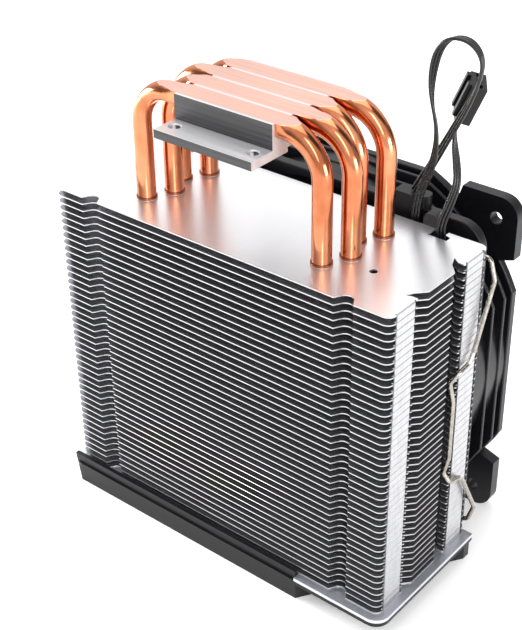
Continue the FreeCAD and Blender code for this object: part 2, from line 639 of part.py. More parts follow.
def stator_pole(index):
    tip = fan_ring(STATOR_R, STATOR_R - POLE_FACE, STATOR_START, STATOR_START + STATOR_HEIGHT)
    wedge_half = STATOR_R * math.tan(math.radians(180 / POLE_COUNT - POLE_END_DEGREES))
    wedge = prism([(0, FAN_Y + STATOR_START, FAN_Z),
                   (wedge_half, FAN_Y + STATOR_START, FAN_Z + STATOR_R),
                   (-wedge_half, FAN_Y + STATOR_START, FAN_Z + STATOR_R)],
                  Vector(0, STATOR_HEIGHT, 0))
    neck = box(-POLE_NECK / 2, POLE_NECK / 2, FAN_Y + STATOR_START,
               FAN_Y + STATOR_START + STATOR_HEIGHT, FAN_Z + BEARING_BOSS_R, FAN_Z + STATOR_R - POLE_FACE / 2)
    return about_fan_axis(tip.common(wedge).fuse(neck), index * 360 / POLE_COUNT)


def coil(index):
    """Winding round one pole's neck."""
    t, half = COIL_THICKNESS, POLE_NECK / 2
    z0 = FAN_Z + BEARING_BOSS_R + POLE_NECK
    z1 = FAN_Z + STATOR_R - POLE_FACE - COIL_FACE_GAP
    y0, y1 = FAN_Y + STATOR_START, FAN_Y + STATOR_START + STATOR_HEIGHT
    pad = min(t, STATOR_START - BOARD_START - BOARD_THICKNESS - COIL_BOARD_GAP)
    wound = box(-half - t, half + t, y0 - pad, y1 + pad, z0, z1)
    return about_fan_axis(wound.cut(box(-half, half, y0, y1, z0 - 1, z1 + 1)), index * 360 / POLE_COUNT)


def build_motor():
    core = fan_ring(BEARING_BOSS_R + STATOR_HUB_WALL, BEARING_BOSS_R,
                    STATOR_START, STATOR_START + STATOR_HEIGHT)
    for i in range(POLE_COUNT):
        core = core.fuse(stator_pole(i))
    core = core.cut(fan_disc(BEARING_BOSS_R, 0, FAN_THICKNESS))
    save("stator_core", core.removeSplitter().Solids[0])
    save("stator_coils", *[coil(i) for i in range(POLE_COUNT)])
    save("fan_circuit_board", fan_ring(BOARD_R, BEARING_BOSS_R + BOARD_HOLE_CLEARANCE,
                                       BOARD_START, BOARD_START + BOARD_THICKNESS))
    save("fan_bearing", fan_ring(BEARING_R, SHAFT_R + BEARING_CLEARANCE,
                                 BEARING_START, BEARING_START + BEARING_LENGTH))
    save("motor_label", fan_disc(LABEL_R, -LABEL_THICKNESS, 0))


def yoke_end():
    return SHAFT_START + SHAFT_LENGTH


def build_rotor():
    shaft = fan_disc(SHAFT_R, SHAFT_START, yoke_end())
    neck_at = SHAFT_START + GROOVE_INSET
    neck = fan_ring(SHAFT_R + 1, GROOVE_NECK_R, neck_at, neck_at + RETAINER_THICKNESS)
    save("fan_shaft", shaft.cut(neck))
    save("shaft_retainer", fan_ring(RETAINER_R, GROOVE_NECK_R, neck_at, neck_at + RETAINER_THICKNESS))
    magnet_in = STATOR_R + AIR_GAP
    magnet_out = magnet_in + MAGNET_THICKNESS
    save("magnet_ring", fan_ring(magnet_out, magnet_in, MAGNET_START, MAGNET_START + MAGNET_LENGTH))
    yoke_out = magnet_out + YOKE_THICKNESS
    yoke = fan_ring(yoke_out, magnet_out, HUB_START, yoke_end())
    yoke = yoke.fuse(fan_ring(yoke_out, SHAFT_R, yoke_end() - YOKE_THICKNESS, yoke_end()))
    save("rotor_yoke", yoke.removeSplitter().Solids[0])


def blade_section(radius, start, end, lean, sweep):
    """Closed section of one blade on the cylinder of this radius, in a plane across it."""
    y0, y1 = FAN_Y + start, FAN_Y + end
    rise = (end - start) * BLADE_CAMBER
    half = BLADE_THICKNESS / 2

    def at(s, y):
        return Vector(s, y, FAN_Z + radius)

    a, b = at(-sweep / 2 + lean, y0), at(sweep / 2 + lean, y1)
    mid = (a + b) * 0.5
    normal = Vector(-(y1 - y0), sweep, 0)
    normal.normalize()
    upper = mid + normal * (rise + half)
    lower = mid + normal * (rise - half)
    tail = normal * (half * BLADE_EDGE)
    edges = [Part.Arc(a + tail, upper, b + tail).toShape(), Part.LineSegment(b + tail, b - tail).toShape(),
             Part.Arc(b - tail, lower, a - tail).toShape(), Part.LineSegment(a - tail, a + tail).toShape()]
    return Part.Wire(edges)


def make_blade(tip_r):
    """Blade lofted from inside the hub's wall to beyond its tip, then trimmed to the tip circle."""
    middle = (HUB_R + tip_r) / 2
    half_wide, tip_wide = BLADE_WIDENING
    plan = [(HUB_R - BLADE_ROOT, 2, 0, 1), (middle, 1, BLADE_LEAN / 3, half_wide),
            (tip_r + BLADE_OVERRUN, 1, BLADE_LEAN, tip_wide)]
    wires = [blade_section(radius, BLADE_START + BLADE_TRIM * trims, BLADE_END - BLADE_TRIM,
                           lean, BLADE_CHORD * wide)
             for radius, trims, lean, wide in plan]
    blade = Part.makeLoft(wires, True, False)
    return blade.common(fan_disc(tip_r, 0, FAN_THICKNESS))


def build_impeller():
    hub = fan_disc(HUB_R, HUB_START, HUB_FACE)
    rim = [e for e in hub.Edges if abs(e.CenterOfMass.y - FAN_Y - HUB_FACE) < 0.01]
    hub = hub.makeFillet(HUB_WALL, rim[:1])
    core = fan_disc(HUB_R - HUB_WALL, HUB_START - 1, yoke_end())
    blade = make_blade(DUCT_R - BLADE_TIP_CLEARANCE)
    shape = hub
    for i in range(BLADE_COUNT):
        shape = shape.fuse(about_fan_axis(blade, i * 360 / BLADE_COUNT))
    shape = shape.cut(core)
    save("impeller", shape.removeSplitter().Solids[0])


# ---- clips and pads -----------------------------------------------------------------
def clip_points(rise):
    """Right-hand clip, upper half, from the hook end to the fan's middle height."""
    run_y = FAN_Y - FAN_GAP / 2 - CLIP_RUN_OFFSET
    side_x = HALF_W + WIRE_FIN_CLEARANCE + WIRE_R
    hook_end = FAN_Y + NEAR_FLANGE + HOOK_OVERRUN
    start = [(HOLE_HALF, hook_end, HOLE_HALF), (HOLE_HALF, run_y, HOLE_HALF),
             (side_x - CLIP_SHOULDER, run_y, HOLE_HALF - rise)]
    bends = [(side_x + out, STUB_END + back, HOLE_HALF - max(down, rise + CLIP_BENDS[0][2]))
             for out, back, down in CLIP_BENDS]
    return start + bends


def make_clip():
    upper = clip_points(0)
    lower = [(x, y, -z) for x, y, z in reversed(clip_points(CLIP_LOW_RISE))]
    route = [(x, y, FAN_Z + z) for x, y, z in upper + lower]
    wire, _ = arc_route(route, lambda run, turn: min(WIRE_BEND_R, corner_r(run, turn)))
    return tube(wire, WIRE_R)


def build_clips():
    clip = make_clip()
    save("fan_clip_right", clip)
    save("fan_clip_left", mirrored_x(clip))


def build_pads():
    """Rubber pads between the fins and the fan, one near each corner of the fan."""
    pads = []
    for sx in (-1, 1):
        for bottom in (STACK_TOP + PAD_ABOVE_FINS - PAD_LENGTH, CAP_TOP_Z + PAD_ABOVE_CAP):
            x = sx * PAD_X
            pad = box(x - PAD_WIDTH / 2, x + PAD_WIDTH / 2, HALF_D, FAN_Y, bottom, bottom + PAD_LENGTH)
            edges = [e for e in pad.Edges if abs(e.tangentAt(e.FirstParameter).y) > 0.9]
            pads.append(pad.makeFillet(PAD_WIDTH * PAD_CORNER, edges))
    save("fan_pads", *pads)


# ---- lead and plug ------------------------------------------------------------------
# The lead leaves the strain relief upwards, loops back down in front of it, tucks into the
# gap round the upper right pad, and comes up through the slot of the fins to its plug.
LEAD_POINTS = [
    (34.3, 31.1, 123.8), (38.4, 30.4, 130.9), (43.6, 29.0, 140.2), (49.6, 27.3, 151.2),
    (54.6, 25.9, 160.2), (57.4, 25.2, 167.0), (57.9, 24.9, 173.4), (53.8, 24.6, 177.6),
    (48.0, 24.3, 177.4), (44.0, 24.1, 173.2), (42.4, 24.1, 165.0), (42.7, 24.2, 157.2),
    (45.2, 24.1, 149.0), (44.6, 24.6, 139.6), (41.2, 25.9, 131.4), (38.3, 26.8, 124.6),
    (37.6, 26.9, 117.0), (38.1, 27.0, 109.6), (38.6, 27.0, 104.8), (41.8, 27.0, 101.5),
    (46.4, 27.0, 101.4), (49.5, 27.0, 104.7), (49.3, 25.6, 110.0), (49.1, 23.2, 115.2),
    (48.9, 23.3, 120.2), (50.3, 25.6, 126.9), (50.9, 28.0, 132.4), (48.8, 29.9, 138.2),
    (46.7, 31.5, 143.2), (46.2, 32.4, 147.4), (46.9, 32.8, 151.0)]
PLUG_AXIS = Vector(0.39, 0.0, 0.92)
PLUG_SIDE = Vector(-0.64, 0.77, 0.0)


def build_lead():
    wire, radii = arc_route(LEAD_POINTS, corner_r)
    lead = tube(wire, LEAD_D / 2)
    print("lead length %.1f mm, volume over section times length %.4f"
          % (wire.Length, lead.Volume / (math.pi * LEAD_D ** 2 / 4 * wire.Length)))
    print("lead radii " + " ".join("%.1f" % r for r in radii))
    save("fan_lead", lead)
    reach = FAN_HALF / math.cos(math.radians(STRUT_ANGLE))
    strip = box(-LEAD_D / 2, LEAD_D / 2, FAN_Y + STRUT_GROOVE - LEAD_STRIP_THICKNESS,
                FAN_Y + STRUT_GROOVE, FAN_Z + MOTOR_BASE_R - GROOVE_ROOT, FAN_Z + reach + LEAD_D)
    below = box(-FAN_HALF, FAN_HALF, FAN_Y, FAN_Y + FAN_THICKNESS, FAN_Z, FAN_Z + FAN_HALF)
    save("fan_lead_strip", about_fan_axis(strip, STRUT_ANGLE).common(below))


def build_guide():
    """Strain relief: a saddle on the fan's upper edge with a lip over the flange's face."""
    x0, x1 = GUIDE_X - GUIDE_WIDTH / 2, GUIDE_X + GUIDE_WIDTH / 2
    saddle = box(x0, x1, FAN_Y, FAN_Y + GUIDE_DEPTH, FAN_SIZE, FAN_SIZE + GUIDE_HEIGHT)
    low = [e for e in saddle.Edges if abs(e.tangentAt(e.FirstParameter).z) > 0.9
           and e.CenterOfMass.x > GUIDE_X]
    saddle = saddle.makeFillet(GUIDE_CORNER, low)
    lip = box(x0, x0 + GUIDE_LIP_WIDTH, FAN_Y - GUIDE_LIP, FAN_Y,
              FAN_SIZE - GUIDE_LIP_DROP, FAN_SIZE + GUIDE_HEIGHT)
    save("lead_strain_relief", saddle.fuse(lip).removeSplitter().Solids[0])


def plug_placement():
    """Placement whose Z is the plug's axis and whose X is its wide side."""
    axis = Vector(PLUG_AXIS)
    axis.normalize()
    side = PLUG_SIDE - axis * PLUG_SIDE.dot(axis)
    side.normalize()
    depth = axis.cross(side)
    turn = FreeCAD.Rotation(side, depth, axis, "ZXY")
    return FreeCAD.Placement(Vector(*LEAD_POINTS[-1]), turn)


def placed(shape):
    moved = shape.copy()
    moved.Placement = plug_placement().multiply(moved.Placement)
    return moved


def pin_places():
    return [(i - (PLUG_PINS - 1) / 2) * PIN_PITCH for i in range(PLUG_PINS)]


def build_plug():
    top = PLUG_DEPTH / 2 - RAIL_HEIGHT
    body = box(-PLUG_WIDTH / 2, PLUG_WIDTH / 2, -PLUG_DEPTH / 2, top, 0, PLUG_LENGTH)
    for x in (-RAIL_PLACE, RAIL_PLACE):
        rail = box(x - RAIL_WIDTH / 2, x + RAIL_WIDTH / 2, top, PLUG_DEPTH / 2, RAIL_START, PLUG_LENGTH)
        body = body.fuse(rail)
    half = PIN_CAVITY / 2
    bore = half - TERMINAL_WALL
    deep = PLUG_LENGTH - PIN_CAVITY_DEPTH
    terminals = []
    for x in pin_places():
        y = -PIN_OFFSET
        body = body.cut(box(x - half, x + half, y - half, y + half, deep, PLUG_LENGTH))
        shell = box(x - half, x + half, y - half, y + half, deep, deep + TERMINAL_LENGTH)
        inside = box(x - bore, x + bore, y - bore, y + bore, deep + TERMINAL_FLOOR, PLUG_LENGTH)
        terminals.append(placed(shell.cut(inside)))
    save("plug_housing", placed(body.removeSplitter().Solids[0]))
    save("plug_terminals", *terminals)


build_fins()
build_pipes()
build_base()
build_cap()
build_fan_frame()
build_motor()
build_rotor()
build_impeller()
build_clips()
build_pads()
build_lead()
build_guide()
build_plug()
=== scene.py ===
"""Looks of a CPU tower cooler: fins, bent copper heat pipes, base block, cap, fan, clips and lead.

Everything is in metres in the CAD's own frame: +Z up, the cooler standing on its cap, the
fins' wide side along X and the fan on their +Y side. Places are read from the CAD's boxes.
"""
import math

import bmesh
import bpy
from mathutils import Matrix, Vector


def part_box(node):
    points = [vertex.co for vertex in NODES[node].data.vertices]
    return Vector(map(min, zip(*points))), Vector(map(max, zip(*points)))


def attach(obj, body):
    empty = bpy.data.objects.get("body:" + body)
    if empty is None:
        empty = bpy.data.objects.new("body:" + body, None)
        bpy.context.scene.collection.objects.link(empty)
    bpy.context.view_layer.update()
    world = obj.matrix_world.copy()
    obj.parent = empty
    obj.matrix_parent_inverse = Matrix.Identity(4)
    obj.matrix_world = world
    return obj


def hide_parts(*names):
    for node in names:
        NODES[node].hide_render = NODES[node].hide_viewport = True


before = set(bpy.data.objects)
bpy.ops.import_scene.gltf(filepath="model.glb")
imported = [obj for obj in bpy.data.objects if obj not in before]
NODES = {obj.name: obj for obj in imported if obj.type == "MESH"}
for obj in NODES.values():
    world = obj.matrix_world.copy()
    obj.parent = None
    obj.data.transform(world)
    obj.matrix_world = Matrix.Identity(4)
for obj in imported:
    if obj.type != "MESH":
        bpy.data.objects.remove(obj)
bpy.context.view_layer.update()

MM = 0.001
UP = Vector((0, 0, 1))

# ---- sizes of the pieces made here, in metres --------------------------------------------
FIN_PITCH = 2.5 * MM
PIPE_R = 3.0 * MM
PIPE_BEND_R = 12.5 * MM
FLAT_HALF = 3.635 * MM           # half the width of a flattened pipe
FLAT_DEPTH = 4.9 * MM
FLAT_LIFT = 0.7 * MM             # flattened underside above the round pipe's underside
FLAT_CORNER = 2.2 * MM
FLAT_FADE_DEGREES = 52           # how far round each bend the pipe is still partly flat
CROWN_HEIGHT = 0.8 * MM          # a flattened pipe before its top was milled off
TONGUE_LENGTH = 5.0 * MM         # the milled face narrows over this length beyond the block
ROUND_POWER = 2.2                # superellipse power of the crowned outline
SQUARE_POWER = 16                # added to it where the outline is square
PIPE_SIDES = 64
RUN_STEPS = 12
BEND_STEPS = 37
PIPE_SMOOTH_DEGREES = 28
LEAD_WIDTH = 3.0 * MM
WIRE_COUNT = 3
WIRE_D = LEAD_WIDTH / WIRE_COUNT
WIRE_SIDES = 12
LEAD_SMOOTH_DEGREES = 60


# ---- camera ------------------------------------------------------------------------------
CAMERA_AT = Vector((0.22900, -0.27646, 0.30593))
CAMERA_LOOKS_AT = Vector((-0.004646, 0.004328, 0.077558))
CAMERA_ROLL = math.radians(-0.910)
LENS = 76.09
SENSOR = 36.0


def make_camera():
    data = bpy.data.cameras.new("camera")
    data.lens, data.sensor_width = LENS, SENSOR
    data.clip_start, data.clip_end = 0.01, 50
    camera = bpy.data.objects.new("camera", data)
    bpy.context.scene.collection.objects.link(camera)
    back = (CAMERA_AT - CAMERA_LOOKS_AT).normalized()
    right = (-back).cross(UP).normalized()
    up = back.cross(right)
    turned_right = right * math.cos(CAMERA_ROLL) + up * math.sin(CAMERA_ROLL)
    turned_up = up * math.cos(CAMERA_ROLL) - right * math.sin(CAMERA_ROLL)
    turn = Matrix((turned_right, turned_up, back)).transposed().to_4x4()
    camera.matrix_world = Matrix.Translation(CAMERA_AT) @ turn
    bpy.context.scene.camera = camera


# ---- mesh helpers ------------------------------------------------------------------------
def new_piece(name, verts, faces, body, material, smooth_degrees=35):
    """Mesh object that rides on a body; edges sharper than smooth_degrees stay crisp."""
    mesh = bpy.data.meshes.new(name)
    mesh.from_pydata([tuple(v) for v in verts], [], faces)
    mesh.update()
    piece = bpy.data.objects.new(name, mesh)
    bpy.context.scene.collection.objects.link(piece)
    mesh.materials.append(material)
    tidy_mesh(mesh, smooth_degrees)
    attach(piece, body)
    return piece


def tidy_mesh(mesh, smooth_degrees):
    """Face the normals outwards and shade smooth except along sharp edges."""
    edit = bmesh.new()
    edit.from_mesh(mesh)
    bmesh.ops.recalc_face_normals(edit, faces=edit.faces)
    limit = math.radians(smooth_degrees)
    for face in edit.faces:
        face.smooth = True
    for edge in edit.edges:
        edge.smooth = not (len(edge.link_faces) == 2 and edge.calc_face_angle() > limit)
    edit.to_mesh(mesh)
    edit.free()


def lofted(rings, verts, faces, closed_ends=True):
    """Skin equal rings of points and add them to verts and faces."""
    first = len(verts)
    count = len(rings[0])
    for ring in rings:
        verts.extend(ring)
    for r in range(len(rings) - 1):
        a, b = first + r * count, first + (r + 1) * count
        for i in range(count):
            j = (i + 1) % count
            faces.append((a + i, a + j, b + j, b + i))
    if closed_ends:
        faces.append(tuple(first + i for i in reversed(range(count))))
        last = first + (len(rings) - 1) * count
        faces.append(tuple(last + i for i in range(count)))


def nurbs_path(points, steps=10):
    """Points along a NURBS spline with these control points."""
    curve = bpy.data.curves.new("path", "CURVE")
    curve.dimensions = "3D"
    curve.resolution_u = steps
    spline = curve.splines.new("NURBS")
    spline.points.add(len(points) - 1)
    for place, point in zip(spline.points, points):
        place.co = (*point, 1.0)
    spline.order_u = 3
    spline.use_endpoint_u = True
    holder = bpy.data.objects.new("path", curve)
    mesh = bpy.data.meshes.new_from_object(holder)
    path = [v.co.copy() for v in mesh.vertices]
    bpy.data.meshes.remove(mesh)
    bpy.data.objects.remove(holder)
    return path


def path_lengths(path):
    lengths = [0.0]
    for a, b in zip(path, path[1:]):
        lengths.append(lengths[-1] + (b - a).length)
    return lengths


def tangents(path):
    last = len(path) - 1
    return [(path[min(i + 1, last)] - path[max(i - 1, 0)]).normalized() for i in range(len(path))]


def smoothstep(x):
    x = min(max(x, 0.0), 1.0)
    return x * x * (3 - 2 * x)


# ---- materials ---------------------------------------------------------------------------
SOLDER = (0.32, 0.11, 0.055)
HEIGHT_BLEND = 0.03 * MM         # half the height over which one look turns into another
COLLAR_RISE = 0.1 * MM           # the collars' solder starts this far above the plate
MILLED_DEPTH = (0.08 * MM, 0.02 * MM)   # below the contact face: not yet milled, and milled
LEVEL = (0.9, 0.98)              # the normal's vertical part: not yet a level face, and one
MILLED_ROUGHER = 0.28


class Nodes:
    """Small helper to build one material's node tree."""

    def __init__(self, name):
        self.material = bpy.data.materials.new(name)
        self.material.use_nodes = True
        self.tree = self.material.node_tree
        self.shader = self.tree.nodes["Principled BSDF"]
        self.place = None

    def put(self, kind, **values):
        node = self.tree.nodes.new(kind)
        for key, value in values.items():
            setattr(node, key, value)
        return node

    def link(self, output, socket):
        self.tree.links.new(output, socket)

    def coords(self, scale=(1, 1, 1)):
        """Object coordinates stretched by scale."""
        if self.place is None:
            self.place = self.put("ShaderNodeTexCoord").outputs["Object"]
        stretch = self.put("ShaderNodeMapping")
        stretch.inputs["Scale"].default_value = scale
        self.link(self.place, stretch.inputs["Vector"])
        return stretch.outputs["Vector"]

    def noise(self, scale, detail=3.0, roughness=0.55, stretch=(1, 1, 1)):
        node = self.put("ShaderNodeTexNoise")
        node.inputs["Scale"].default_value = scale
        node.inputs["Detail"].default_value = detail
        node.inputs["Roughness"].default_value = roughness
        self.link(self.coords(stretch), node.inputs["Vector"])
        return node.outputs["Fac"]

    def ramp(self, factor, stops):
        """Colour ramp; stops are (position, colour or grey)."""
        node = self.put("ShaderNodeValToRGB")
        marks = node.color_ramp.elements
        while len(marks) < len(stops):
            marks.new(0.5)
        for mark, (position, colour) in zip(marks, stops):
            mark.position = position
            mark.color = (*colour, 1) if isinstance(colour, tuple) else (colour, colour, colour, 1)
        self.link(factor, node.inputs["Fac"])
        return node.outputs["Color"]

    def span(self, factor, low, high, from_low=0.3, from_high=0.7):
        """Number from low to high as factor goes from from_low to from_high."""
        node = self.put("ShaderNodeMapRange")
        for socket, value in (("From Min", from_low), ("From Max", from_high),
                              ("To Min", low), ("To Max", high)):
            node.inputs[socket].default_value = value
        self.link(factor, node.inputs["Value"])
        return node.outputs["Result"]

    def mix(self, factor, a, b):
        """Colour a where factor is 0 and b where it is 1; each is a colour or an output."""
        node = self.put("ShaderNodeMix", data_type="RGBA")
        self.link(factor, node.inputs[0])
        for socket, value in ((node.inputs[6], a), (node.inputs[7], b)):
            if isinstance(value, tuple):
                socket.default_value = (*value, 1)
            else:
                self.link(value, socket)
        return node.outputs[2]

    def math(self, operation, *values):
        """Math node; each value is a number or an output."""
        node = self.put("ShaderNodeMath", operation=operation)
        for socket, value in zip(node.inputs, values):
            if isinstance(value, (int, float)):
                socket.default_value = value
            else:
                self.link(value, socket)
        return node.outputs[0]

    def normal_part(self, axis):
        """Size of the surface normal's part along X, Y or Z."""
        split = self.put("ShaderNodeSeparateXYZ")
        self.link(self.put("ShaderNodeNewGeometry").outputs["True Normal"], split.inputs[0])
        return self.math("ABSOLUTE", split.outputs[axis])

    def place_part(self, axis):
        split = self.put("ShaderNodeSeparateXYZ")
        self.link(self.coords(), split.inputs[0])
        return split.outputs[axis]

    def above(self, z):
        """1 above this height and 0 below it."""
        return self.span(self.place_part("Z"), 0.0, 1.0, z - HEIGHT_BLEND, z + HEIGHT_BLEND)

    def bump(self, height, strength, distance, under=None):
        node = self.put("ShaderNodeBump")
        node.inputs["Strength"].default_value = strength
        node.inputs["Distance"].default_value = distance
        self.link(height, node.inputs["Height"])
        if under is not None:
            self.link(under, node.inputs["Normal"])
        return node.outputs["Normal"]

    def finish(self, color=None, rough=None, normal=None, metallic=0.0, **fixed):
        """Wire up the shader; numbers and tuples are set on its sockets directly."""
        wanted = {"Base Color": color, "Roughness": rough, "Normal": normal}
        for socket, value in wanted.items():
            if value is None:
                continue
            if isinstance(value, tuple):
                self.shader.inputs[socket].default_value = (*value, 1)
            elif isinstance(value, float):
                self.shader.inputs[socket].default_value = value
            else:
                self.link(value, self.shader.inputs[socket])
        self.shader.inputs["Metallic"].default_value = metallic
        for socket, value in fixed.items():
            self.shader.inputs[socket.replace("_", " ")].default_value = value
        return self.material


def fin_metal(name, plate_dark, plate_light, plate_rough, metallic, collar_z=None):
    """Rolled aluminium sheet: plates with fine rolling lines in the given greys, sheared edges and tabs
    a fixed grey, bright beside the fin banks' plates, whose dark greys are painted shade between the
    stacked fins.

    Above collar_z, the collars round the pipes are tinted by their solder."""
    n = Nodes(name)
    level = n.span(n.normal_part("Z"), 0.0, 1.0, 0.5, 0.8)
    lines = n.noise(420, 3, 0.6, (1, 0.03, 1))
    clouds = n.noise(22, 2, 0.5)
    plate = n.ramp(n.math("MULTIPLY_ADD", lines, 0.5, 0.5), [(0.2, plate_dark), (0.85, plate_light)])
    cloudy = n.mix(n.span(clouds, 0.0, 0.25), plate, plate_light)
    tab_grain = n.ramp(n.noise(900, 2, 0.5, (1, 1, 0.2)),
                       [(0.2, (0.50, 0.50, 0.52)), (0.8, (0.64, 0.64, 0.66))])
    color = n.mix(level, tab_grain, cloudy)
    if collar_z is not None:
        color = n.mix(n.above(collar_z), color, SOLDER)
    rough = n.span(level, 0.38, plate_rough, 0.0, 1.0)
    normal = n.bump(lines, 0.05, 0.02 * MM)
    return n.finish(color, rough, normal, metallic=metallic)


def copper(name, contact_z):
    """Polished copper with drawn lines and heat-tinted patches; the milled contact face is matt."""
    n = Nodes(name)
    drawn = n.noise(260, 4, 0.6, (1, 1, 0.02))
    patches = n.noise(55, 3, 0.6)
    base = n.ramp(patches, [(0.28, (0.50, 0.15, 0.065)), (0.5, (0.76, 0.27, 0.13)),
                            (0.75, (0.88, 0.38, 0.21))])
    streaked = n.mix(n.span(drawn, 0.0, 0.4), base, (0.36, 0.11, 0.05))
    raw_z, milled_z = (contact_z - depth for depth in MILLED_DEPTH)
    face = n.math("MULTIPLY", n.span(n.place_part("Z"), 0.0, 1.0, raw_z, milled_z),
                  n.span(n.normal_part("Z"), 0.0, 1.0, *LEVEL))
    milled = n.ramp(n.noise(900, 2, 0.6, (0.02, 1, 1)),
                    [(0.3, (0.70, 0.42, 0.345)), (0.7, (0.78, 0.50, 0.42))])
    color = n.mix(face, streaked, milled)
    worn = n.span(patches, 0.10, 0.20)
    rough = n.math("ADD", worn, n.math("MULTIPLY", face, MILLED_ROUGHER))
    normal = n.bump(n.noise(700, 3, 0.6), 0.12, 0.03 * MM)
    return n.finish(color, rough, normal, metallic=1.0)


def milled_aluminium(name):
    """Extruded and milled block: fine lines along X; the faces that look along Y are painted dark, a
    painted shade.
    """
    n = Nodes(name)
    lines = n.noise(1400, 3, 0.65, (0.015, 1, 1))
    wide = n.noise(60, 2, 0.5, (0.3, 1, 1))
    bright = n.mix(n.span(wide, 0.0, 0.5), n.ramp(lines, [(0.3, 0.60), (0.7, 0.76)]),
                   (0.66, 0.66, 0.72))
    # Painted shade: faces that look along Y get a near-black grey instead of the block's own colour.
    painted_dark_y_faces = n.mix(n.span(wide, 0.0, 0.4), n.ramp(lines, [(0.3, 0.035), (0.7, 0.075)]),
                 (0.10, 0.09, 0.10))
    color = n.mix(n.span(n.normal_part("Y"), 0.0, 1.0, 0.7, 0.9), bright, painted_dark_y_faces)
    rough = n.span(lines, 0.30, 0.46)
    return n.finish(color, rough, n.bump(lines, 0.25, 0.03 * MM), metallic=0.55)


def satin_silver(name):
    """Silver-painted sheet with a fine metallic flake."""
    n = Nodes(name)
    flake = n.noise(2600, 2, 0.7)
    wide = n.noise(18, 2, 0.5)
    speckled = n.ramp(flake, [(0.3, (0.68, 0.68, 0.75)), (0.7, (0.80, 0.80, 0.87))])
    color = n.mix(n.span(wide, 0.0, 0.4), speckled, (0.76, 0.76, 0.83))
    return n.finish(color, n.span(flake, 0.3, 0.42), n.bump(flake, 0.1, 0.02 * MM), metallic=0.85)


def moulded(name, dark, light, low, high, grain=1500, depth=0.03, sheen=0.0, gloss=0.32):
    """Moulded plastic or rubber: fine spark grain, slow flow marks and a little wear."""
    n = Nodes(name)
    fine = n.noise(grain, 3, 0.6)
    flow = n.noise(30, 3, 0.55, (1, 1, 0.4))
    color = n.mix(n.span(flow, 0.0, 1.0), n.ramp(fine, [(0.3, dark), (0.7, light)]), light)
    rough = n.math("ADD", n.span(flow, low, high), n.span(fine, 0.0, 0.06))
    return n.finish(color, rough, n.bump(fine, 0.25, depth * MM),
                    Sheen_Weight=sheen, Specular_IOR_Level=gloss)


def plain_metal(name, dark, light, low, high, stretch=(1, 1, 1), grain=800):
    n = Nodes(name)
    fine = n.noise(grain, 3, 0.6, stretch)
    wide = n.noise(40, 2, 0.5)
    color = n.mix(n.span(wide, 0.0, 0.6), n.ramp(fine, [(0.3, dark), (0.7, light)]), light)
    return n.finish(color, n.span(fine, low, high), n.bump(fine, 0.15, 0.02 * MM), metallic=1.0)


def wound_copper(name):
    """Enamelled winding: fine parallel turns."""
    n = Nodes(name)
    turns = n.put("ShaderNodeTexWave", wave_type="BANDS", bands_direction="Y")
    turns.inputs["Scale"].default_value = 900
    turns.inputs["Distortion"].default_value = 0.6
    n.link(n.coords(), turns.inputs["Vector"])
    color = n.ramp(turns.outputs["Fac"], [(0.1, (0.30, 0.10, 0.04)), (0.8, (0.72, 0.31, 0.14))])
    return n.finish(color, 0.3, n.bump(turns.outputs["Fac"], 0.5, 0.08 * MM), metallic=0.9)


def circuit_board(name):
    """Solder mask with soldered copper tracks showing through."""
    n = Nodes(name)
    cells = n.put("ShaderNodeTexVoronoi", feature="DISTANCE_TO_EDGE")
    cells.inputs["Scale"].default_value = 260
    n.link(n.coords(), cells.inputs["Vector"])
    tracks = n.span(cells.outputs["Distance"], 1.0, 0.0, 0.04, 0.09)
    color = n.mix(tracks, (0.010, 0.075, 0.030), (0.03, 0.16, 0.06))
    return n.finish(color, 0.35, n.bump(tracks, 0.3, 0.05 * MM), Coat_Weight=0.3)


def paper_label(name):
    n = Nodes(name)
    fibres = n.noise(500, 4, 0.65)
    color = n.ramp(fibres, [(0.3, 0.74), (0.7, 0.83)])
    return n.finish(color, n.span(fibres, 0.35, 0.5), n.bump(fibres, 0.1, 0.02 * MM))


def make_materials(contact_z, top_z):
    """One material for each of the record's slots."""
    return {
        # Fin banks: plate greys set far below the top fin's, as painted shade in the gaps between the
        # stacked fins.
        "fin_aluminium": fin_metal("fin_aluminium", (0.24, 0.24, 0.26), (0.40, 0.40, 0.43), 0.30, 0.9),
        "top_fin": fin_metal("top_fin", (0.90, 0.90, 0.93), (0.97, 0.97, 0.99), 0.28, 0.9,
                             top_z + COLLAR_RISE),
        "pipe_copper": copper("pipe_copper", contact_z),
        "base_aluminium": milled_aluminium("base_aluminium"),
        "cap_silver": satin_silver("cap_silver"),
        "black_plastic": moulded("black_plastic", (0.003, 0.003, 0.004), (0.008, 0.008, 0.009),
                                 0.30, 0.42),
        "fan_plastic": moulded("fan_plastic", (0.003, 0.003, 0.004), (0.007, 0.007, 0.009), 0.26, 0.36),
        "motor_steel": plain_metal("motor_steel", (0.32, 0.32, 0.34), (0.5, 0.5, 0.52), 0.25, 0.4),
        "coil_copper": wound_copper("coil_copper"),
        "circuit_board": circuit_board("circuit_board"),
        "bearing_bronze": plain_metal("bearing_bronze", (0.42, 0.28, 0.13), (0.6, 0.44, 0.24),
                                      0.4, 0.55),
        "blank_label": paper_label("blank_label"),
        "bright_steel": plain_metal("bright_steel", (0.26, 0.24, 0.21), (0.50, 0.47, 0.42), 0.18, 0.30),
        "magnet": moulded("magnet", (0.05, 0.05, 0.055), (0.09, 0.09, 0.1), 0.5, 0.65, 2200),
        "rubber": moulded("rubber", (0.010, 0.010, 0.010), (0.025, 0.025, 0.025),
                          0.6, 0.75, 1800, 0.05, 0.15),
        "lead_insulation": moulded("lead_insulation", (0.004, 0.004, 0.005), (0.010, 0.010, 0.011),
                                   0.22, 0.30, 900, gloss=0.5),
        "terminal_metal": plain_metal("terminal_metal", (0.62, 0.62, 0.62), (0.85, 0.85, 0.85),
                                      0.2, 0.3),
    }


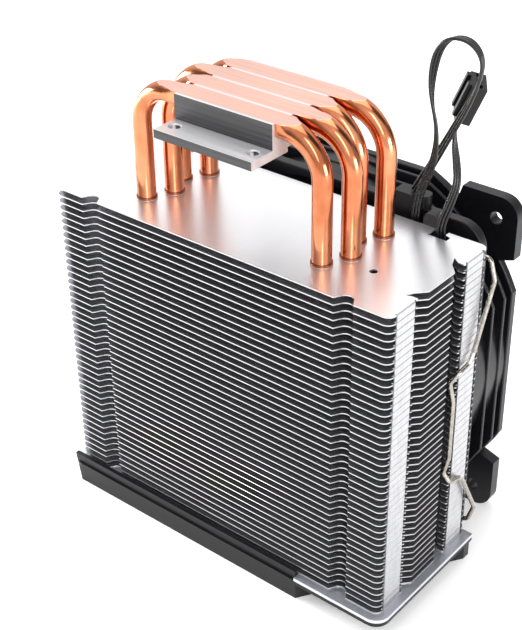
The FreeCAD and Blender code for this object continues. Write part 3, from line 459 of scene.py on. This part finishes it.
SLOT_NODES = {
    "fin_aluminium": ["fin_bank_1", "fin_bank_2", "fin_bank_3", "fin_bank_4"],
    "top_fin": ["top_fin"],
    "pipe_copper": ["heatpipe_1", "heatpipe_2", "heatpipe_3", "heatpipe_4", "heatpipe_end_seals"],
    "base_aluminium": ["base_block"],
    "cap_silver": ["cap_plate"],
    "black_plastic": ["cap_cover", "lead_strain_relief", "plug_housing"],
    "fan_plastic": ["fan_frame", "impeller"],
    "motor_steel": ["stator_core", "rotor_yoke", "fan_shaft"],
    "coil_copper": ["stator_coils"],
    "circuit_board": ["fan_circuit_board"],
    "bearing_bronze": ["fan_bearing"],
    "blank_label": ["motor_label"],
    "bright_steel": ["fan_clip_right", "fan_clip_left"],
    "magnet": ["magnet_ring"],
    "rubber": ["fan_pads", "shaft_retainer"],
    "lead_insulation": ["fan_lead", "fan_lead_strip"],
    "terminal_metal": ["plug_terminals"],
}


def dress_nodes(materials):
    for slot, names in SLOT_NODES.items():
        for name in names:
            node = NODES[name]
            if not node.data.materials:
                node.data.materials.append(materials[slot])
            for i in range(len(node.material_slots)):
                node.material_slots[i].material = materials[slot]


# ---- heat pipes --------------------------------------------------------------------------
def flat_reach(angle, crown):
    """Distance from the run's centre to a flattened pipe's outline, in this direction.

    The outline's upper half is crowned, more so as crown goes from 0 to 1."""
    if angle <= math.pi:
        power = ROUND_POWER + SQUARE_POWER * (1 - crown) ** 3
        tall = FLAT_DEPTH + FLAT_LIFT - PIPE_R + CROWN_HEIGHT
        share = (abs(math.cos(angle)) / FLAT_HALF) ** power + (math.sin(angle) / tall) ** power
        return share ** (-1 / power)
    bottom = PIPE_R - FLAT_LIFT
    dx, dz = math.cos(angle), math.sin(angle)
    far = min(FLAT_HALF / abs(dx), bottom / -dz)
    corner_x, corner_z = FLAT_HALF - FLAT_CORNER, FLAT_CORNER - bottom
    if dz * far < corner_z and abs(dx * far) > corner_x:
        middle = Vector((math.copysign(corner_x, dx), corner_z))
        along = middle.dot(Vector((dx, dz)))
        off = middle.length_squared - along * along
        far = along + math.sqrt(max(FLAT_CORNER ** 2 - off, 0))
    return far


def pipe_route(left, right, y, low, run_z):
    """Points of one U-shaped pipe with the flattening at each, from 0 round to 1 flat."""
    leg_top = run_z - PIPE_BEND_R
    leg = [(Vector((left, y, low + (leg_top - low) * i / RUN_STEPS)), 0.0)
           for i in range(RUN_STEPS + 1)]
    bend = []
    for i in range(1, BEND_STEPS):
        turn = 90 * i / BEND_STEPS
        angle = math.radians(turn)
        at = Vector((left + PIPE_BEND_R * (1 - math.cos(angle)), y,
                     leg_top + PIPE_BEND_R * math.sin(angle)))
        bend.append((at, smoothstep((turn - 90 + FLAT_FADE_DEGREES) / FLAT_FADE_DEGREES)))
    straight = right - left - 2 * PIPE_BEND_R
    run = [(Vector((left + PIPE_BEND_R + straight * i / RUN_STEPS, y, run_z)), 1.0)
           for i in range(RUN_STEPS + 1)]
    far_side = [(Vector((left + right - at.x, at.y, at.z)), flat)
                for at, flat in reversed(leg + bend)]
    return leg + bend + run + far_side


def make_heatpipes(materials, contact_z):
    run_z = contact_z - FLAT_DEPTH - FLAT_LIFT + PIPE_R
    block_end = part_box("base_block")[1].x
    for index in range(1, 5):
        node = "heatpipe_%d" % index
        low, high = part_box(node)
        left, right = low.x + PIPE_R, high.x - PIPE_R
        y = (low.y + high.y) / 2
        route = pipe_route(left, right, y, low.z, run_z)
        path = [at for at, _ in route]
        rings = []
        for (at, flat), along in zip(route, tangents(path)):
            side = Vector((0, 1, 0))
            out = side.cross(along)
            ring = []
            crown = smoothstep((abs(at.x) - block_end) / TONGUE_LENGTH)
            for k in range(PIPE_SIDES):
                angle = 2 * math.pi * (k + 0.5) / PIPE_SIDES
                reach = PIPE_R + (flat_reach(angle, crown) - PIPE_R) * flat
                point = at + side * (math.cos(angle) * reach) - out * (math.sin(angle) * reach)
                point.z = min(point.z, contact_z)
                ring.append(point)
            rings.append(ring)
        verts, faces = [], []
        lofted(rings, verts, faces)
        pipe = new_piece("copper_pipe_%d" % index, verts, faces, "cooler",
                         materials["pipe_copper"], PIPE_SMOOTH_DEGREES)
        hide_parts(node)


# ---- lead --------------------------------------------------------------------------------
LEAD_POINTS = [
    (34.3, 31.1, 123.8), (38.4, 30.4, 130.9), (43.6, 29.0, 140.2), (49.6, 27.3, 151.2),
    (54.6, 25.9, 160.2), (57.4, 25.2, 167.0), (57.9, 24.9, 173.4), (53.8, 24.6, 177.6),
    (48.0, 24.3, 177.4), (44.0, 24.1, 173.2), (42.4, 24.1, 165.0), (42.7, 24.2, 157.2),
    (45.2, 24.1, 149.0), (44.6, 24.6, 139.6), (41.2, 25.9, 131.4), (38.3, 26.8, 124.6),
    (37.6, 26.9, 117.0), (38.1, 27.0, 109.6), (38.6, 27.0, 104.8), (41.8, 27.0, 101.5),
    (46.4, 27.0, 101.4), (49.5, 27.0, 104.7), (49.3, 25.6, 110.0), (49.1, 23.2, 115.2),
    (48.9, 23.3, 120.2), (50.3, 25.6, 126.9), (50.9, 28.0, 132.4), (48.8, 29.9, 138.2),
    (46.7, 31.5, 143.2), (46.2, 32.4, 147.4), (46.9, 32.8, 151.0)]
# Wide side of the flat lead, at shares of its length.
LEAD_SIDES = [(0.0, (1.0, 0.0, -0.4)), (0.14, (0.8, -0.5, -0.3)), (0.26, (0.3, -0.9, 0.0)),
              (0.36, (-0.5, -0.8, 0.0)), (0.46, (0.6, -0.7, 0.0)), (0.56, (0.9, -0.2, 0.2)),
              (0.68, (0.7, 0.2, -0.6)), (0.76, (1.0, 0.1, 0.0)), (0.84, (0.7, 0.7, 0.0)),
              (0.92, (0.2, 0.9, -0.1)), (1.0, (-0.64, 0.77, 0.0))]


def side_at(share):
    for (s0, a), (s1, b) in zip(LEAD_SIDES, LEAD_SIDES[1:]):
        if share <= s1:
            way = smoothstep((share - s0) / (s1 - s0))
            return Vector(a).normalized().slerp(Vector(b).normalized(), way)
    return Vector(LEAD_SIDES[-1][1]).normalized()


def make_lead(materials):
    """Flat lead of three joined wires that follows the NURBS path through the chosen points."""
    path = nurbs_path([Vector(p) * MM for p in LEAD_POINTS])
    lengths = path_lengths(path)
    rings = [[] for _ in range(WIRE_COUNT)]
    for at, along, length in zip(path, tangents(path), lengths):
        side = side_at(length / lengths[-1])
        side = (side - along * side.dot(along)).normalized()
        out = along.cross(side)
        for wire in range(WIRE_COUNT):
            middle = at + side * ((wire - (WIRE_COUNT - 1) / 2) * WIRE_D)
            rings[wire].append([middle + (side * math.cos(a) + out * math.sin(a)) * WIRE_D / 2
                                for a in (2 * math.pi * k / WIRE_SIDES for k in range(WIRE_SIDES))])
    verts, faces = [], []
    for wire in range(WIRE_COUNT):
        lofted(rings[wire], verts, faces)
    lead = new_piece("flat_lead", verts, faces, "cooler",
                     materials["lead_insulation"], LEAD_SMOOTH_DEGREES)
    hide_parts("fan_lead")


# ---- floor and light ---------------------------------------------------------------------
FLOOR_HALF = 3.0
FLOOR_GLOW = 0.22
WORLD_STRENGTH = 1.05
LIGHTS_AIM = (0, 0, 0.09)
# Each light's name, place, size and power in watts.
LIGHTS = [("overhead", (-0.25, 0.25, 1.2), (1.1, 1.1), 8),
          ("right_low", (1.1, 0.0, 0.22), (0.5, 0.35), 6),
          ("left_low", (-1.0, -0.25, 0.16), (0.4, 0.2), 16),
          ("camera_side", (0.75, -0.75, 0.9), (0.25, 0.9), 4)]
# Directions in which the studio is dark, each with how dark and how wide it is.
DARK_SIDES = [((-0.64, -0.77, 0.0), 0.80, (0.50, 0.95)), ((0.77, 0.64, 0.0), 0.6, (0.60, 0.95)),
              ((0.42, 0.42, 0.80), 0.9, (0.86, 0.97))]


def make_floor():
    """White paper that gives a little light of its own, so that it stays white in soft shade."""
    n = Nodes("floor_paper")
    grain = n.noise(300, 3, 0.5)
    paper = n.finish(n.ramp(grain, [(0.3, 0.93), (0.7, 0.95)]), 0.9, n.bump(grain, 0.05, 0.05 * MM),
                     Emission_Color=(1, 1, 1, 1), Emission_Strength=FLOOR_GLOW)
    mesh = bpy.data.meshes.new("floor")
    corners = [(-FLOOR_HALF, -FLOOR_HALF, 0), (FLOOR_HALF, -FLOOR_HALF, 0),
               (FLOOR_HALF, FLOOR_HALF, 0), (-FLOOR_HALF, FLOOR_HALF, 0)]
    mesh.from_pydata(corners, [], [(0, 1, 2, 3)])
    mesh.materials.append(paper)
    floor = bpy.data.objects.new("floor", mesh)
    bpy.context.scene.collection.objects.link(floor)


def make_area_light(name, at, size, power):
    """Rectangular light at this place that shines at the middle of the cooler."""
    data = bpy.data.lights.new(name, "AREA")
    data.shape = "RECTANGLE"
    data.size, data.size_y = size
    data.energy = power
    light = bpy.data.objects.new(name, data)
    bpy.context.scene.collection.objects.link(light)
    light.location = at
    light.rotation_euler = (Vector(LIGHTS_AIM) - Vector(at)).to_track_quat("-Z", "Y").to_euler()


def world_math(tree, operation, a, b):
    """Math node of the studio's light; a is an output, and b an output or a number."""
    node = tree.nodes.new("ShaderNodeMath")
    node.operation = operation
    tree.links.new(a, node.inputs[0])
    if isinstance(b, float):
        node.inputs[1].default_value = b
    else:
        tree.links.new(b, node.inputs[1])
    return node.outputs[0]


def side_level(tree, direction, side, darkness, start, end):
    """1 away from this side of the studio, and 1 less its darkness in the middle of it."""
    dot = tree.nodes.new("ShaderNodeVectorMath")
    dot.operation = "DOT_PRODUCT"
    dot.inputs[1].default_value = side
    tree.links.new(direction, dot.inputs[0])
    fade = tree.nodes.new("ShaderNodeMapRange")
    fade.interpolation_type = "SMOOTHSTEP"
    for socket, value in (("From Min", start), ("From Max", end),
                          ("To Min", 1), ("To Max", 1 - darkness)):
        fade.inputs[socket].default_value = value
    tree.links.new(dot.outputs["Value"], fade.inputs["Value"])
    return fade.outputs["Result"]


def make_world():
    """Pale studio, white all round to the eye; some sides are dark for light and reflections."""
    world = bpy.data.worlds.new("studio")
    bpy.context.scene.world = world
    world.use_nodes = True
    tree = world.node_tree
    shader = tree.nodes["Background"]
    direction = tree.nodes.new("ShaderNodeTexCoord").outputs["Generated"]
    levels = [side_level(tree, direction, side, darkness, start, end)
              for side, darkness, (start, end) in DARK_SIDES]
    level = levels[0]
    for other in levels[1:]:
        level = world_math(tree, "MULTIPLY", level, other)
    eye = tree.nodes.new("ShaderNodeLightPath").outputs["Is Camera Ray"]
    seen = world_math(tree, "MAXIMUM", level, eye)
    tree.links.new(world_math(tree, "MULTIPLY", seen, WORLD_STRENGTH), shader.inputs["Strength"])
    shader.inputs["Color"].default_value = (1, 1, 1, 1)


def make_lights():
    make_world()
    for light in LIGHTS:
        make_area_light(*light)


def main():
    bpy.context.scene.view_settings.view_transform = "Standard"
    make_camera()
    contact_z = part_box("base_block")[1].z
    materials = make_materials(contact_z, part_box("fin_bank_4")[1].z + FIN_PITCH)
    dress_nodes(materials)
    make_lead(materials)
    make_heatpipes(materials, contact_z)
    make_floor()
    make_lights()


main()
